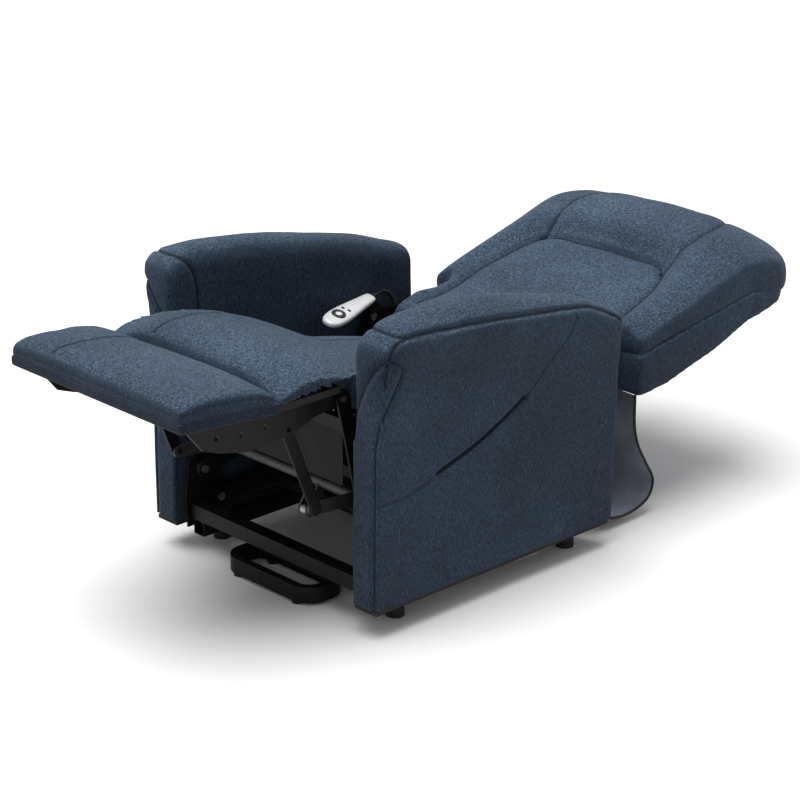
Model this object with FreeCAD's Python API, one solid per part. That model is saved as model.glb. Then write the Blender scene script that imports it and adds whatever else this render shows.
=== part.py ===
import FreeCAD, Part
import math
import os

# Lift recliner chair, laid back, foot rest out, lift frame down. Millimetres, +Z up.
# -Y is the foot end, +Y the head end, +X the sitter's left. While it is modelled, Y is
# counted from the arms' front faces; export moves the origin under the middle.

# driving dimensions
seat_half = 255          # middle of the seat to an arm's inner face
arm_wall = 64            # arm thickness below its pad
arm_reach = 345          # middle of the seat to the widest place of the arm pads
arm_depth = 655
arm_bottom = 60
arm_height = 620
foot_end = -375          # front of the foot pad
head_end = 1235          # top of the backrest
pad_half = 235           # half width of the foot and calf pads
seat_cushion_half = 248
back_half = 296          # half width of the backrest above the arms
back_low_half = 233      # half width of the backrest between the arms
plate = 4                # thickness of the steel side plates
pin_radius = 8
running = 0.05           # radial clearance of a pin in its hole
origin_y = (foot_end + head_end) / 2

# pivots, (y, z), in the laid back pose
lift_arm_pivot = (100, 100)
lift_arm_end = (480, 140)
lift_link_pivot = (60, 170)
lift_link_end = (300, 220)
seat_pivot = (60, 360)
back_pivot = (523, 375)
legrest_pivot = (20, 450)
crank_pivot = (85, 232)
crank_end = (-30, 242)
link_end = (-101.6, 420)
lift_tube = (232, 113)
lift_motor_ends = (570, 80), (262, 152)
recline_motor_ends = (165, 262), (505, 238)
legrest_motor_ends = (390, 196), (53.6, 181)
lever_tube = (558, 298)
motor_x = {"lift": 0, "recline": -80, "legrest": 80}

# planes of the side linkages: inner faces, counted from the middle
body_plate_x = 241
lift_arm_x = 225
seat_plate_x = 214
bracket_x = 204
link_x = 197
crank_x = 190


def vec(x, y, z):
    return FreeCAD.Vector(x, y, z)


def slab(outline, x0, x1):
    """A side view outline of (y, z) points, from x0 to x1."""
    points = [vec(x0, y, z) for y, z in outline]
    return Part.Face(Part.makePolygon(points + points[:1])).extrude(vec(x1 - x0, 0, 0))


def front_prism(outline, y0, y1):
    """A front view outline of (x, z) points, from y0 to y1."""
    points = [vec(x, y0, z) for x, z in outline]
    return Part.Face(Part.makePolygon(points + points[:1])).extrude(vec(0, y1 - y0, 0))


def plan_prism(outline, z0, z1):
    """A plan outline of (x, y) points, from z0 to z1."""
    points = [vec(x, y, z0) for x, y in outline]
    return Part.Face(Part.makePolygon(points + points[:1])).extrude(vec(0, 0, z1 - z0))


def block(x0, x1, y0, y1, z0, z1):
    return Part.makeBox(x1 - x0, y1 - y0, z1 - z0, vec(x0, y0, z0))


def rod_x(centre, radius, x0, x1):
    """A round bar across the chair."""
    return Part.makeCylinder(radius, x1 - x0, vec(x0, *centre), vec(1, 0, 0))


def tube_x(centre, radius, wall, x0, x1):
    return rod_x(centre, radius, x0, x1).cut(rod_x(centre, radius - wall, x0, x1))


def square_tube_x(y, z, side, wall, x0, x1):
    """A square tube across the chair, with its low front corner at (y, z)."""
    hollow = block(x0, x1, y + wall, y + side - wall, z + wall, z + side - wall)
    return block(x0, x1, y, y + side, z, z + side).cut(hollow)


def bar(start, end, width, x0, x1):
    """A flat bar with round ends about two pivots."""
    along = vec(0, end[0] - start[0], end[1] - start[1]).normalize()
    side = (-along.z * width / 2, along.y * width / 2)
    corners = [(p[0] + s * side[0], p[1] + s * side[1])
               for p, s in ((start, 1), (end, 1), (end, -1), (start, -1))]
    ends = [rod_x(p, width / 2, x0, x1) for p in (start, end)]
    return slab(corners, x0, x1).fuse(ends).removeSplitter()


def drilled(shape, centres, radius, x0=-400, x1=400):
    for centre in centres:
        shape = shape.cut(rod_x(centre, radius, x0, x1))
    return shape


def mirrored(shape):
    return shape.mirror(vec(0, 0, 0), vec(1, 0, 0))


def pair(*shapes):
    """The left-hand pieces given, and their right-hand twins, as separate solids."""
    solids = [s for shape in shapes for s in shape.Solids]
    return Part.makeCompound(solids + [mirrored(s) for s in solids])


def group(*shapes):
    return Part.makeCompound([s for shape in shapes for s in shape.Solids])


def export(name, shape):
    solids = shape.Solids
    shape = solids[0] if len(solids) == 1 else Part.makeCompound(solids)
    shape = shape.copy()
    shape.translate(vec(0, -origin_y, 0))
    if not shape.isValid():
        print("not valid:", name)
    shape.exportStep("parts/%s.step" % name)
    whole.append(shape)


# ---- base ----

def base_runners():
    outer = block(235, 265, 62, 620, 20, 50)
    return pair(outer.cut(block(237, 263, 62, 620, 22, 48)))


def front_crossbar():
    return square_tube_x(36, 68, 30, 2, -body_plate_x, body_plate_x)


def rear_crossbar():
    bar_body = square_tube_x(585, 20, 30, 2, -235, 235)
    ears = [bar((598, 40), lift_motor_ends[0], 26, x, x + plate).cut(
        block(-20, 20, 585, 620, 20, 50)) for x in (-13, 13 - plate)]
    return drilled(bar_body.fuse(ears), lift_motor_ends[:1], 5, -20, 20).removeSplitter()


def stabiliser_loop():
    """A flat-sided steel ring that stands in front of the base on two pads."""
    def ring(inset):
        x, front, rear, r = 126 - inset, 14 + inset, 122 - inset, 44 - inset
        shape = block(-x, x, front, rear, 6, 38)
        return shape.makeFillet(r, [e for e in shape.Edges if abs(e.tangentAt(e.FirstParameter).z) > 0.99])
    return ring(0).cut(ring(16))


def feet():
    runner_feet = [Part.makeCylinder(18, 20, vec(250, y, 0)) for y in (122, 590)]
    loop_pads = [Part.makeCylinder(11, 6, vec(84, y, 0)) for y in (25, 111)]
    return pair(*runner_feet, *loop_pads)


def base_brackets():
    outline = [(28, 50), (136, 50), (128, 120), (92, 195), (62, 200), (34, 188), (24, 110)]
    side = slab(outline, body_plate_x, body_plate_x + plate)
    return pair(drilled(side, (lift_arm_pivot, lift_link_pivot), pin_radius))


def lift_pivot_pins():
    sides = pair(*[rod_x(p, pin_radius, lift_arm_x - 3, body_plate_x + plate + 3)
                   for p in (lift_arm_pivot, lift_link_pivot)])
    return group(sides, rod_x(lift_motor_ends[0], 5, -13, 13))


def power_box():
    """The mains supply on the rear crossbar, with its inlet in the back."""
    box = block(80, 210, 522, 612, 50, 98)
    box = box.makeFillet(5, [e for e in box.Edges if abs(e.tangentAt(e.FirstParameter).z) > 0.99])
    return box.cut(block(118, 144, 594, 620, 64, 84))


# ---- lift frame ----

def lift_arm():
    flat = bar(lift_arm_pivot, lift_arm_end, 36, lift_arm_x, lift_arm_x + 10)
    return drilled(flat, (lift_arm_pivot, lift_arm_end), pin_radius + running)


def lift_cross_tube():
    tube = tube_x(lift_tube, 14, 2.5, -lift_arm_x, lift_arm_x)
    ears = [bar(lift_tube, lift_motor_ends[1], 24, x, x + plate) for x in (-13, 13 - plate)]
    tube = tube.fuse(ears).cut(rod_x(lift_tube, 11.5, -30, 30))
    return drilled(tube, lift_motor_ends[1:], 5, -30, 30).removeSplitter()


def lift_links():
    flat = bar(lift_link_pivot, lift_link_end, 28, lift_arm_x, lift_arm_x + 8)
    return pair(drilled(flat, (lift_link_pivot, lift_link_end), pin_radius + running))


# ---- chair body: side plates, rails and the two arms ----

def side_plates():
    outline = [(35, 330), (36, 396), (462, 294), (498, 362), (504, 395), (540, 402), (552, 385),
               (550, 350), (508, 118), (452, 118), (400, 200), (285, 196), (150, 300)]
    side = slab(outline, body_plate_x, body_plate_x + plate)
    return pair(drilled(side, (lift_arm_end, lift_link_end, seat_pivot, back_pivot), pin_radius))


def rear_cross_rail():
    return square_tube_x(455, 172, 24, 2, -body_plate_x, body_plate_x)


def body_pins():
    outer = body_plate_x + plate + 3
    return pair(rod_x(lift_arm_end, pin_radius, lift_arm_x - 3, outer),
                rod_x(lift_link_end, pin_radius, lift_arm_x + 9, outer),
                rod_x(seat_pivot, pin_radius, seat_plate_x - 3, outer),
                rod_x(back_pivot, pin_radius, back_low_half, outer))


def arm_bolts():
    places = (100, 345), (240, 300), (420, 250), (470, 190)
    return pair(*[rod_x(p, 6, body_plate_x + plate, seat_half) for p in places])


arm_side = [(0, arm_bottom), (0, 500), (6, 545), (20, 580), (45, 606), (80, 618), (150, 620), (220, 618),
            (290, 610), (430, 580), (550, 550), (610, 528), (640, 510), (arm_depth, 490),
            (arm_depth, arm_bottom)]
arm_seam = [(-10, 520), (20, 560), (60, 580), (157, 568), (264, 560), (397, 545), (493, 536),
            (563, 526), (606, 510), (665, 478)]
arm_front = [(seat_half, arm_bottom), (317, arm_bottom), (319, 300), (330, 420), (342, 500),
             (345, 560), (330, 640), (seat_half, 640)]
arm_plan = [(seat_half, -5), (arm_reach, -5), (arm_reach, 150), (330, 660), (seat_half, 660)]
panel_front = [(seat_half, arm_bottom), (330, arm_bottom), (330, 420), (345, 500), (345, 540), (335, 556),
               (318, 560), (302, 545), (294, 525), (280, 470), (264, 400), (seat_half, 330)]


def arm_pieces():
    """The left arm: wooden core, padded cover, top pad and the inset front panel."""
    body = slab(arm_side, seat_half, arm_reach).common(front_prism(arm_front, -5, 660))
    body = body.common(plan_prism(arm_plan, 50, 630))
    behind = body.copy()
    behind.translate(vec(0, 6, 0))
    panel = body.cut(behind).common(front_prism(panel_front, -5, 70))
    panel = max(panel.Solids, key=lambda s: s.Volume)
    rest = body.cut(panel)
    above = slab(arm_seam + [(665, 700), (-10, 700)], 200, 400)
    core = block(268, 298, 30, 630, arm_bottom, 470)
    return core, rest.cut(above).cut(core), rest.common(above), panel


def pocket():
    """The hollow of the slanted side pocket: a flat bag behind a gaping slit."""
    bag = slab([(170, 130), (380, 130), (380, 390), (170, 302)], 303, 309)
    slit = slab([(165, 288), (385, 380), (385, 392), (165, 300)], 303, 360)
    return bag.fuse(slit)


def strip(line, thickness, x0, x1):
    """A sheet of even thickness whose one face follows a line of (y, z) points."""
    inner = []
    for i, (y, z) in enumerate(line):
        before, after = line[max(i - 1, 0)], line[min(i + 1, len(line) - 1)]
        length = math.dist(before, after)
        inner.append((y - thickness * (after[1] - before[1]) / length,
                      z + thickness * (after[0] - before[0]) / length))
    return slab(line + inner[::-1], x0, x1)


def rear_flap():
    """Flexible skirt that hangs from the back of the seat to the backrest."""
    line = [(662, 66), (690, 36), (740, 22), (790, 24), (824, 40), (834, 74), (812, 118),
            (788, 165), (776, 210), (773, 276)]
    return strip(line, 3, -262, 262)


# ---- seat ----

def seat_plates():
    outline = [(4, 452), (14, 466), (28, 466), (38, 452), (44, 400), (470, 287), (484, 268),
               (440, 180), (405, 178), (180, 215), (110, 208), (60, 212), (50, 250), (30, 345)]
    side = slab(outline, seat_plate_x, seat_plate_x + plate)
    side = drilled(side, (legrest_pivot, crank_pivot), pin_radius - 2)
    return pair(drilled(side, (seat_pivot,), pin_radius + running))


def seat_front_rail():
    return block(-seat_plate_x, seat_plate_x, 48, 70, 369, 393)


def seat_rear_rail():
    return block(-seat_plate_x, seat_plate_x, 452, 472, 268, 286)


def motor_rails():
    """Tubes that carry the recline motor and the foot rest motor."""
    rails = []
    for y, z, eye, x in ((150, 222, recline_motor_ends[0], motor_x["recline"]),
                         (410, 186, legrest_motor_ends[0], motor_x["legrest"])):
        rail = square_tube_x(y, z, 22, 2, -seat_plate_x, seat_plate_x)
        root = (y + 11, z + 11)
        cheeks = [bar(root, eye, 20, x + s, x + s + plate).cut(block(-150, 150, y, y + 22, z, z + 22))
                  for s in (-13, 13 - plate)]
        rails.append(drilled(rail.fuse(cheeks), (eye,), 5, x - 20, x + 20).removeSplitter())
    return group(*rails)


def seat_springs():
    """Five zigzag springs from the front rail to the rear rail."""
    count, waves, half_wave, wire = 5, 13, 20, 1.9
    start, end = vec(0, 60, 398), vec(0, 462, 288.5)
    springs = []
    for i in range(count):
        x = (i - (count - 1) / 2) * 84
        points = []
        for k in range(2 * waves + 1):
            place = start + (end - start) * (k / (2 * waves))
            side = half_wave * (1 if (k // 2) % 2 else -1)
            points.append(vec(x + side, place.y, place.z))
        path = Part.makePolygon(points)
        ring = Part.Wire(Part.makeCircle(wire, points[0], points[1] - points[0]))
        springs.append(path.makePipeShell([ring], True, False, 2))
    return group(*springs)


seat_top = [(45, 505), (100, 498), (180, 462), (250, 425), (334, 396), (416, 373), (515, 346)]


def seat_cushion():
    outline = [(45, 405)] + seat_top + [(515, 288)]
    bracket_gap = block(226, 250, 458, 520, 200, 500)
    return slab(outline, -seat_cushion_half, seat_cushion_half).cut([bracket_gap, mirrored(bracket_gap)])


def dust_cloth():
    return block(-184, 184, 49, 51, 262, 369)


def seat_pins():
    """Hinge pins of the foot rest, stub axles of the torque tube and the two motor pins."""
    outer = seat_plate_x + plate
    stub = rod_x(crank_pivot, 10 - running, crank_x, seat_plate_x).fuse(
        rod_x(crank_pivot, pin_radius - 2, seat_plate_x, outer))
    hinges = pair(rod_x(legrest_pivot, pin_radius - 2, bracket_x - 2, outer + 3), stub)
    motor_pins = [rod_x(ends[0], 5, motor_x[name] - 13, motor_x[name] + 13)
                  for name, ends in (("recline", recline_motor_ends), ("legrest", legrest_motor_ends))]
    return group(hinges, *motor_pins)


def along(start, end, distance):
    """The point at a distance from start towards end."""
    whole_length = math.dist(start, end)
    return tuple(s + (e - s) * distance / whole_length for s, e in zip(start, end))


handset_nose = (-213, 367, 411)
handset_end = (-238, 524, 418)
handset_length = math.dist(handset_nose, handset_end)
button_depth = 1.5       # how far a button sinks
button_places = {        # across the face, along the face from the nose, (length, width)
    "raise_button": (0, 47, (12, 7)),
    "lower_button": (0, 25, (12, 7)),
    "recline_button": (-11, 36, (7, 12)),
    "upright_button": (11, 36, (7, 12)),
    "heat_button": (-8, 62, (9, 5)),
    "massage_button": (6, 66, (9, 5)),
}


def on_handset(shape):
    """Moves a shape from the handset's own axes (y from the nose, z out of its face)."""
    forward = (vec(*handset_end) - vec(*handset_nose)).normalize()
    up = vec(0.34, 0, 1)
    up = (up - forward * up.dot(forward)).normalize()
    across = forward.cross(up)
    place = FreeCAD.Matrix(across.x, forward.x, up.x, handset_nose[0],
                           across.y, forward.y, up.y, handset_nose[1],
                           across.z, forward.z, up.z, handset_nose[2], 0, 0, 0, 1)
    shape = shape.copy()
    shape.transformShape(place)
    return shape


def button(across, reach, size, gap=0.0):
    width, length = size[0] / 2 + gap, size[1] / 2 + gap
    depth = 4 + gap * 4
    shape = block(across - width, across + width, reach - length, reach + length, 10.5 - depth, 10.5)
    corners = [e for e in shape.Edges if abs(e.tangentAt(e.FirstParameter).z) > 0.99]
    return shape.makeFillet(2, corners)


def handset_shell():
    length = handset_length
    outline = [(-15, 2), (0, 0), (15, 2), (24, 16), (27, 45), (24, 90), (16, length - 22),
               (12, length), (-12, length), (-16, length - 22), (-24, 90), (-27, 45), (-24, 16)]
    shell = plan_prism(outline, -9, 9)
    wells = [button(*place, gap=0.3) for place in button_places.values()]
    return on_handset(shell.cut(wells))


cord_radius = 4.5
cord_route = [(-238.2, 524.9, 418.1), (-241, 541, 421), (-245, 559, 421), (-245.5, 577, 412), (-245.5, 589, 396),
              (-245.5, 592, 376), (-246, 588, 357), (-249, 582, 340), (-257, 577, 324)]


def cord_tube(route, radius):
    """Straight runs joined by tangent arcs, swept by a round section."""
    points = [vec(*p) for p in route]
    edges, last, bends = [], points[0], []
    for before, here, after in zip(points, points[1:], points[2:]):
        come, go = (here - before), (after - here)
        turn = come.getAngle(go)
        size = 0.45 * min(come.Length, go.Length) / math.tan(turn / 2)
        cut = size * math.tan(turn / 2)
        start = here - come.normalize() * cut
        end = here + go.normalize() * cut
        middle = here + (((start + end) * 0.5) - here).normalize() * (size / math.cos(turn / 2) - size)
        edges += [Part.LineSegment(last, start).toShape(), Part.Arc(start, middle, end).toShape()]
        last = end
        bends.append(round(size))
    edges.append(Part.LineSegment(last, points[-1]).toShape())
    path = Part.Wire(edges)
    ring = Part.Wire(Part.makeCircle(radius, points[0], points[1] - points[0]))
    tube = path.makePipeShell([ring], True, False)
    print("cord bend radii", bends, "length", round(path.Length),
          "volume error", round(tube.Volume / (math.pi * radius ** 2 * path.Length) - 1, 4))
    return tube


# ---- backrest ----

def crease(y):
    """Height of the joint between the back cushion and the outside back."""
    return 335 + 0.16 * (y - 560)


back_plan = [(-back_half, 745), (back_half, 745), (back_half, 1110), (285, 1160), (255, 1195), (190, 1218),
             (100, 1231), (0, head_end), (-100, 1231), (-190, 1218), (-255, 1195), (-285, 1160),
             (-back_half, 1110)]


def back_part(low_outline, wide_outline):
    low = slab(low_outline, -back_low_half, back_low_half)
    wide = slab(wide_outline, -back_half, back_half).common(plan_prism(back_plan, 200, 600))
    return low.fuse(wide).removeSplitter()


def back_cushion():
    low = [(562, crease(562)), (556, 365), (572, 393), (620, 402), (690, 406), (760, 418), (760, crease(760))]
    wide = [(745, crease(745)), (745, 415), (800, 432), (890, 455), (982, 480), (1075, 506), (1140, 512),
            (1190, 500), (1225, 472), (head_end, 450), (1215, crease(1215))]
    return back_part(low, wide)


def stile(y0, y1, x0, x1):
    return slab([(y0, crease(y0)), (y1, crease(y1)), (y1, crease(y1) - 22), (y0, crease(y0) - 22)], x0, x1)


def back_stiles():
    return pair(stile(600, 1150, 190, 214))


def back_rails():
    return group(*[stile(y, y + 40, -190, 190) for y in (602, 850, 1106)])


def back_shell():
    low = [(576, crease(576)), (576, 302), (761, 283), (761, crease(761))]
    wide = [(745, crease(745)), (745, 284), (827, 291), (978, 327), (1128, 383), (1207, 424),
            (1215, crease(1215))]
    return back_part(low, wide).cut([back_stiles(), back_rails()])


def back_brackets():
    outline = [(505, 372), (512, 390), (535, 391), (745, 372), (745, 342), (640, 325), (578, 284),
               (545, 282), (508, 352)]
    return pair(drilled(slab(outline, back_low_half, back_low_half + 5), (back_pivot,), pin_radius + running))


def back_lever_tube():
    x = motor_x["recline"]
    tube = tube_x(lever_tube, 11, 2, -back_low_half, back_low_half)
    ears = [bar(lever_tube, recline_motor_ends[1], 22, x + s, x + s + plate) for s in (-13, 13 - plate)]
    tube = tube.fuse(ears).cut(rod_x(lever_tube, 9, -200, 200))
    return drilled(tube, recline_motor_ends[1:], 5, x - 20, x + 20).removeSplitter()


# ---- foot rest ----

def foot_board():
    return slab([(-366, 491), (-150, 473), (-150, 486), (-366, 505)], -228, 228)


def foot_pad():
    outline = [(foot_end + 3, 506), (-150, 487), (-152, 505), (-170, 527), (-230, 541), (-320, 546),
               (-362, 538), (foot_end, 522)]
    return slab(outline, -pad_half, pad_half)


def calf_board():
    return block(-228, 228, -140, 4, 468, 481)


def calf_pad():
    outline = [(-144, 482), (-146, 505), (-130, 524), (-95, 537), (-55, 541), (-10, 536), (38, 520), (38, 482)]
    return slab(outline, -pad_half, pad_half)


def legrest_brackets():
    outline = [(30, 462), (22, 468), (-140, 468), (-150, 472), (-330, 487), (-338, 478), (-300, 432),
               (-262, 418), (-200, 404), (-95, 408), (-40, 428), (25, 436), (33, 448)]
    side = slab(outline, bracket_x, bracket_x + plate)
    side = drilled(side, (legrest_pivot,), pin_radius - 2 + running)
    return pair(drilled(side, (link_end, (-160, 440), (-215, 440), (-270, 448)), 5))


def crank_tube():
    """Torque tube with its two crank arms and the motor's lever."""
    x = motor_x["legrest"]
    tube = tube_x(crank_pivot, 12.5, 2.5, -seat_plate_x + 1, seat_plate_x - 1)
    for side in (crank_x, -crank_x - plate):
        tube = tube.fuse(bar(crank_pivot, crank_end, 26, side, side + plate))
    ears = [bar(crank_pivot, legrest_motor_ends[1], 22, x + s, x + s + plate) for s in (-13, 13 - plate)]
    tube = tube.fuse(ears).cut(rod_x(crank_pivot, 10, -250, 250))
    tube = drilled(tube, legrest_motor_ends[1:], 5, x - 20, x + 20)
    return drilled(tube, (crank_end,), 5, -250, 250).removeSplitter()


def drive_links():
    """Flat links from the crank arms to the foot rest brackets, with their lower pins."""
    flat = bar(crank_end, link_end, 24, link_x, link_x + plate)
    pin = rod_x(crank_end, 5 - running, crank_x - 2, link_x)
    return pair(drilled(flat, (link_end,), 5).fuse(pin))


# ---- motors ----

def motor(name, ends, stroke):
    """Gearbox, motor can and outer tube, and the push rod that slides in it."""
    x, (start, end) = motor_x[name], ends
    length = math.dist(start, end)
    closed = length + min(stroke, 0)
    mouth, bottom = closed - 38, 70
    direction = vec(0, end[0] - start[0], end[1] - start[1]).normalize()

    def round_bar(radius, first, last):
        return Part.makeCylinder(radius, last - first, vec(x, *along(start, end, first)), direction)

    gearbox = bar(along(start, end, 42), along(start, end, 54), 40, x - 19, x + 19)
    neck = bar(start, along(start, end, 30), 20, x - 8, x + 8)
    outward = vec(-1 if x < 0 else 1, 0, 0)
    can = Part.makeCylinder(14, 74, vec(x, *along(start, end, 48)), outward)
    housing = gearbox.fuse([neck, can, round_bar(15, 60, mouth)])
    housing = housing.cut([round_bar(8.3, bottom, mouth + 1), rod_x(start, 5 + running, x - 20, x + 20)])
    rod = round_bar(8, bottom + 4 + length - closed, length - 8)
    rod = rod.fuse(rod_x(end, 11, x - 7, x + 7)).cut(rod_x(end, 5.5, x - 20, x + 20))
    return housing.removeSplitter(), rod.removeSplitter()


# ---- everything, one file a node ----

left_core, left_cover, left_pad, left_panel = arm_pieces()
lift_motor, lift_rod = motor("lift", lift_motor_ends, 120)
recline_motor, recline_rod = motor("recline", recline_motor_ends, 117)
legrest_motor, legrest_rod = motor("legrest", legrest_motor_ends, -61.6)

nodes = {
    "base_runners": base_runners(),
    "front_crossbar": front_crossbar(),
    "rear_crossbar": rear_crossbar(),
    "stabiliser_loop": stabiliser_loop(),
    "feet": feet(),
    "base_brackets": base_brackets(),
    "lift_pivot_pins": lift_pivot_pins(),
    "power_box": power_box(),
    "left_lift_arm": lift_arm(),
    "right_lift_arm": mirrored(lift_arm()),
    "lift_cross_tube": lift_cross_tube(),
    "lift_links": lift_links(),
    "side_plates": side_plates(),
    "rear_cross_rail": rear_cross_rail(),
    "body_pins": body_pins(),
    "arm_bolts": arm_bolts(),
    "left_arm_core": left_core,
    "right_arm_core": mirrored(left_core),
    "left_arm_cover": left_cover.cut(pocket()),
    "right_arm_cover": mirrored(left_cover),
    "left_arm_pad": left_pad,
    "right_arm_pad": mirrored(left_pad),
    "left_arm_front_panel": left_panel,
    "right_arm_front_panel": mirrored(left_panel),
    "rear_flap": rear_flap(),
    "seat_plates": seat_plates(),
    "seat_front_rail": seat_front_rail(),
    "seat_rear_rail": seat_rear_rail(),
    "motor_rails": motor_rails(),
    "seat_springs": seat_springs(),
    "seat_cushion": seat_cushion(),
    "dust_cloth": dust_cloth(),
    "seat_pins": seat_pins(),
    "handset_shell": handset_shell(),
    "handset_cord": cord_tube(cord_route, cord_radius),
    "back_cushion": back_cushion(),
    "back_stiles": back_stiles(),
    "back_rails": back_rails(),
    "back_shell": back_shell(),
    "back_brackets": back_brackets(),
    "back_lever_tube": back_lever_tube(),
    "foot_board": foot_board(),
    "foot_pad": foot_pad(),
    "calf_board": calf_board(),
    "calf_pad": calf_pad(),
    "legrest_brackets": legrest_brackets(),
    "crank_tube": crank_tube(),
    "drive_links": drive_links(),
    "lift_motor": lift_motor,
    "lift_rod": lift_rod,
    "recline_motor": recline_motor,
    "recline_rod": recline_rod,
    "legrest_motor": legrest_motor,
    "legrest_rod": legrest_rod,
}
nodes.update({name: on_handset(button(*place)) for name, place in button_places.items()})

os.makedirs("parts", exist_ok=True)
whole = []
for name, shape in nodes.items():
    export(name, shape)
box = Part.makeCompound(whole).BoundBox
print(len(nodes), "nodes, box", [round(v, 2) for v in (box.XMin, box.XMax, box.YMin, box.YMax, box.ZMin, box.ZMax)])
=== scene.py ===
import math

import bmesh
import bpy
import numpy as np
from mathutils import Matrix, Quaternion, Vector
from mathutils.bvhtree import BVHTree


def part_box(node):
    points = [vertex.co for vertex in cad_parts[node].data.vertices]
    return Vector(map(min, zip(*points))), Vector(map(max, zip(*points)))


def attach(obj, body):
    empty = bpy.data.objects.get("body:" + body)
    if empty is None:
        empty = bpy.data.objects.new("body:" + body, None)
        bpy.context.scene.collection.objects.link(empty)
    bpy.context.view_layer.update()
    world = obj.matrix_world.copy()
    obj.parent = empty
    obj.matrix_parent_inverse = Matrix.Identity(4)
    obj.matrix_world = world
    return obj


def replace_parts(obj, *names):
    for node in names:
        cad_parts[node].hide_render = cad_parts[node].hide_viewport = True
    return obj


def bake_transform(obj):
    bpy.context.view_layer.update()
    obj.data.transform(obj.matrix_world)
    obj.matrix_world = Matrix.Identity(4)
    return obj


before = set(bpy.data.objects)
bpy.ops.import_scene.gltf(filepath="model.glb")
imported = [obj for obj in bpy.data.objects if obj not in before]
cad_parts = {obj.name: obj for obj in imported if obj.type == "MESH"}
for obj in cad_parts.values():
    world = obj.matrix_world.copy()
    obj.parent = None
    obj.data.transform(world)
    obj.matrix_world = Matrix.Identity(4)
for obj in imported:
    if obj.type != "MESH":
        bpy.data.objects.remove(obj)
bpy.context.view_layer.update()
scene = bpy.context.scene
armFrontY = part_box("left_arm_front_panel")[0].y  # below, y is counted from the arms' front faces


def at(x, y, z):
    return Vector((x, y + armFrontY, z))


# camera
cameraLook = {"azimuth": 45.93, "elevation": 20.77, "distance": 5.009, "roll": 0.43, "lens": 116.2,
              "target": (0.040, -0.096, 0.317)}


def aimCamera(look):
    camera = bpy.data.objects.new("camera", bpy.data.cameras.new("camera"))
    scene.collection.objects.link(camera)
    azimuth, elevation = math.radians(look["azimuth"]), math.radians(look["elevation"])
    back = Vector((math.sin(azimuth) * math.cos(elevation), -math.cos(azimuth) * math.cos(elevation),
                   math.sin(elevation)))
    camera.location = Vector(look["target"]) + back * look["distance"]
    camera.rotation_mode = "QUATERNION"
    roll = Quaternion((0, 0, 1), math.radians(look["roll"]))
    camera.rotation_quaternion = (-back).to_track_quat("-Z", "Y") @ roll
    camera.data.lens = look["lens"]
    scene.camera = camera


aimCamera(cameraLook)
print("camera set")


class Wire:
    # one shader socket; sums written with it add Math nodes
    def __init__(self, finish, socket):
        self.finish, self.socket = finish, socket

    def maths(self, operation, *others):
        return self.finish.add("Math", {"operation": operation}, dict(enumerate((self, *others))))

    def __add__(self, other):
        return self.maths("ADD", other)

    def __sub__(self, other):
        return self.maths("SUBTRACT", other)

    def __rsub__(self, other):
        return self.finish.add("Math", {"operation": "SUBTRACT"}, {0: other, 1: self})

    def __mul__(self, other):
        return self.maths("MULTIPLY", other)

    __radd__ = __add__
    __rmul__ = __mul__

    def orMore(self, other):
        return self.maths("MAXIMUM", other)

    def size(self):
        return self.maths("ABSOLUTE")

    def between(self, low, high):
        return self.finish.add("MapRange", {"interpolation_type": "SMOOTHSTEP"}, {0: self, 1: low, 2: high})


class Finish:
    def __init__(self, name, **constants):
        self.material = bpy.data.materials.new(name)
        self.material.use_nodes = True
        self.tree = self.material.node_tree
        self.tree.nodes.clear()
        self.constants = constants
        self.place = self.add("TexCoord", {}, {}, 3)

    def add(self, kind, settings, inputs, output=0):
        node = self.tree.nodes.new("ShaderNode" + kind)
        for setting, value in settings.items():
            if setting == "stops":
                ramp = node.color_ramp
                ramp.elements[0].position, ramp.elements[-1].position = value[0][0], value[-1][0]
                for stop in value[1:-1]:
                    ramp.elements.new(stop[0])
                for element, stop in zip(ramp.elements, value):
                    element.color = (*stop[1], 1)
            else:
                setattr(node, setting, value)
        for socket, value in inputs.items():
            if isinstance(value, Wire):
                self.tree.links.new(value.socket, node.inputs[socket])
            else:
                node.inputs[socket].default_value = value
        return Wire(self, node.outputs[output]) if node.outputs else None

    def stretched(self, scale):
        return self.add("VectorMath", {"operation": "MULTIPLY"}, {0: self.place, 1: scale})

    def grain(self, scale, detail=2.0, roughness=0.5, where=None):
        inputs = {"Vector": where or self.place, "Scale": scale, "Detail": detail, "Roughness": roughness}
        return self.add("TexNoise", {}, inputs)

    def ramp(self, value, stops):
        return self.add("ValToRGB", {"stops": stops}, {0: value})

    def mixed(self, mask, first, second, kind="MIX"):
        return self.add("Mix", {"data_type": "RGBA", "blend_type": kind}, {0: mask, 6: first, 7: second}, 2)

    def bump(self, height, strength, distance):
        return self.add("Bump", {}, {"Strength": strength, "Distance": distance, "Height": height})

    def feed(self, **wires):
        # the shader, from its constants and from what changes over the surface
        sockets = {name.replace("_", " "): value for name, value in {**self.constants, **wires}.items()}
        self.add("OutputMaterial", {}, {0: self.add("BsdfPrincipled", {}, sockets)})
        return self.material


# the side tone is painted shade on side-facing cloth
heather = {"stops": [(0.40, (0.0048, 0.0084, 0.0160)), (0.53, (0.0180, 0.0315, 0.0520)),
                     (0.70, (0.071, 0.105, 0.145))],
           "acrossFleck": (150, 520, 400), "alongFleck": (520, 150, 400), "streak": (640, 640, 130),
           "paintedSideShade": 0.190, "seamShadeColour": (0.002, 0.003, 0.006, 1)}


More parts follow.
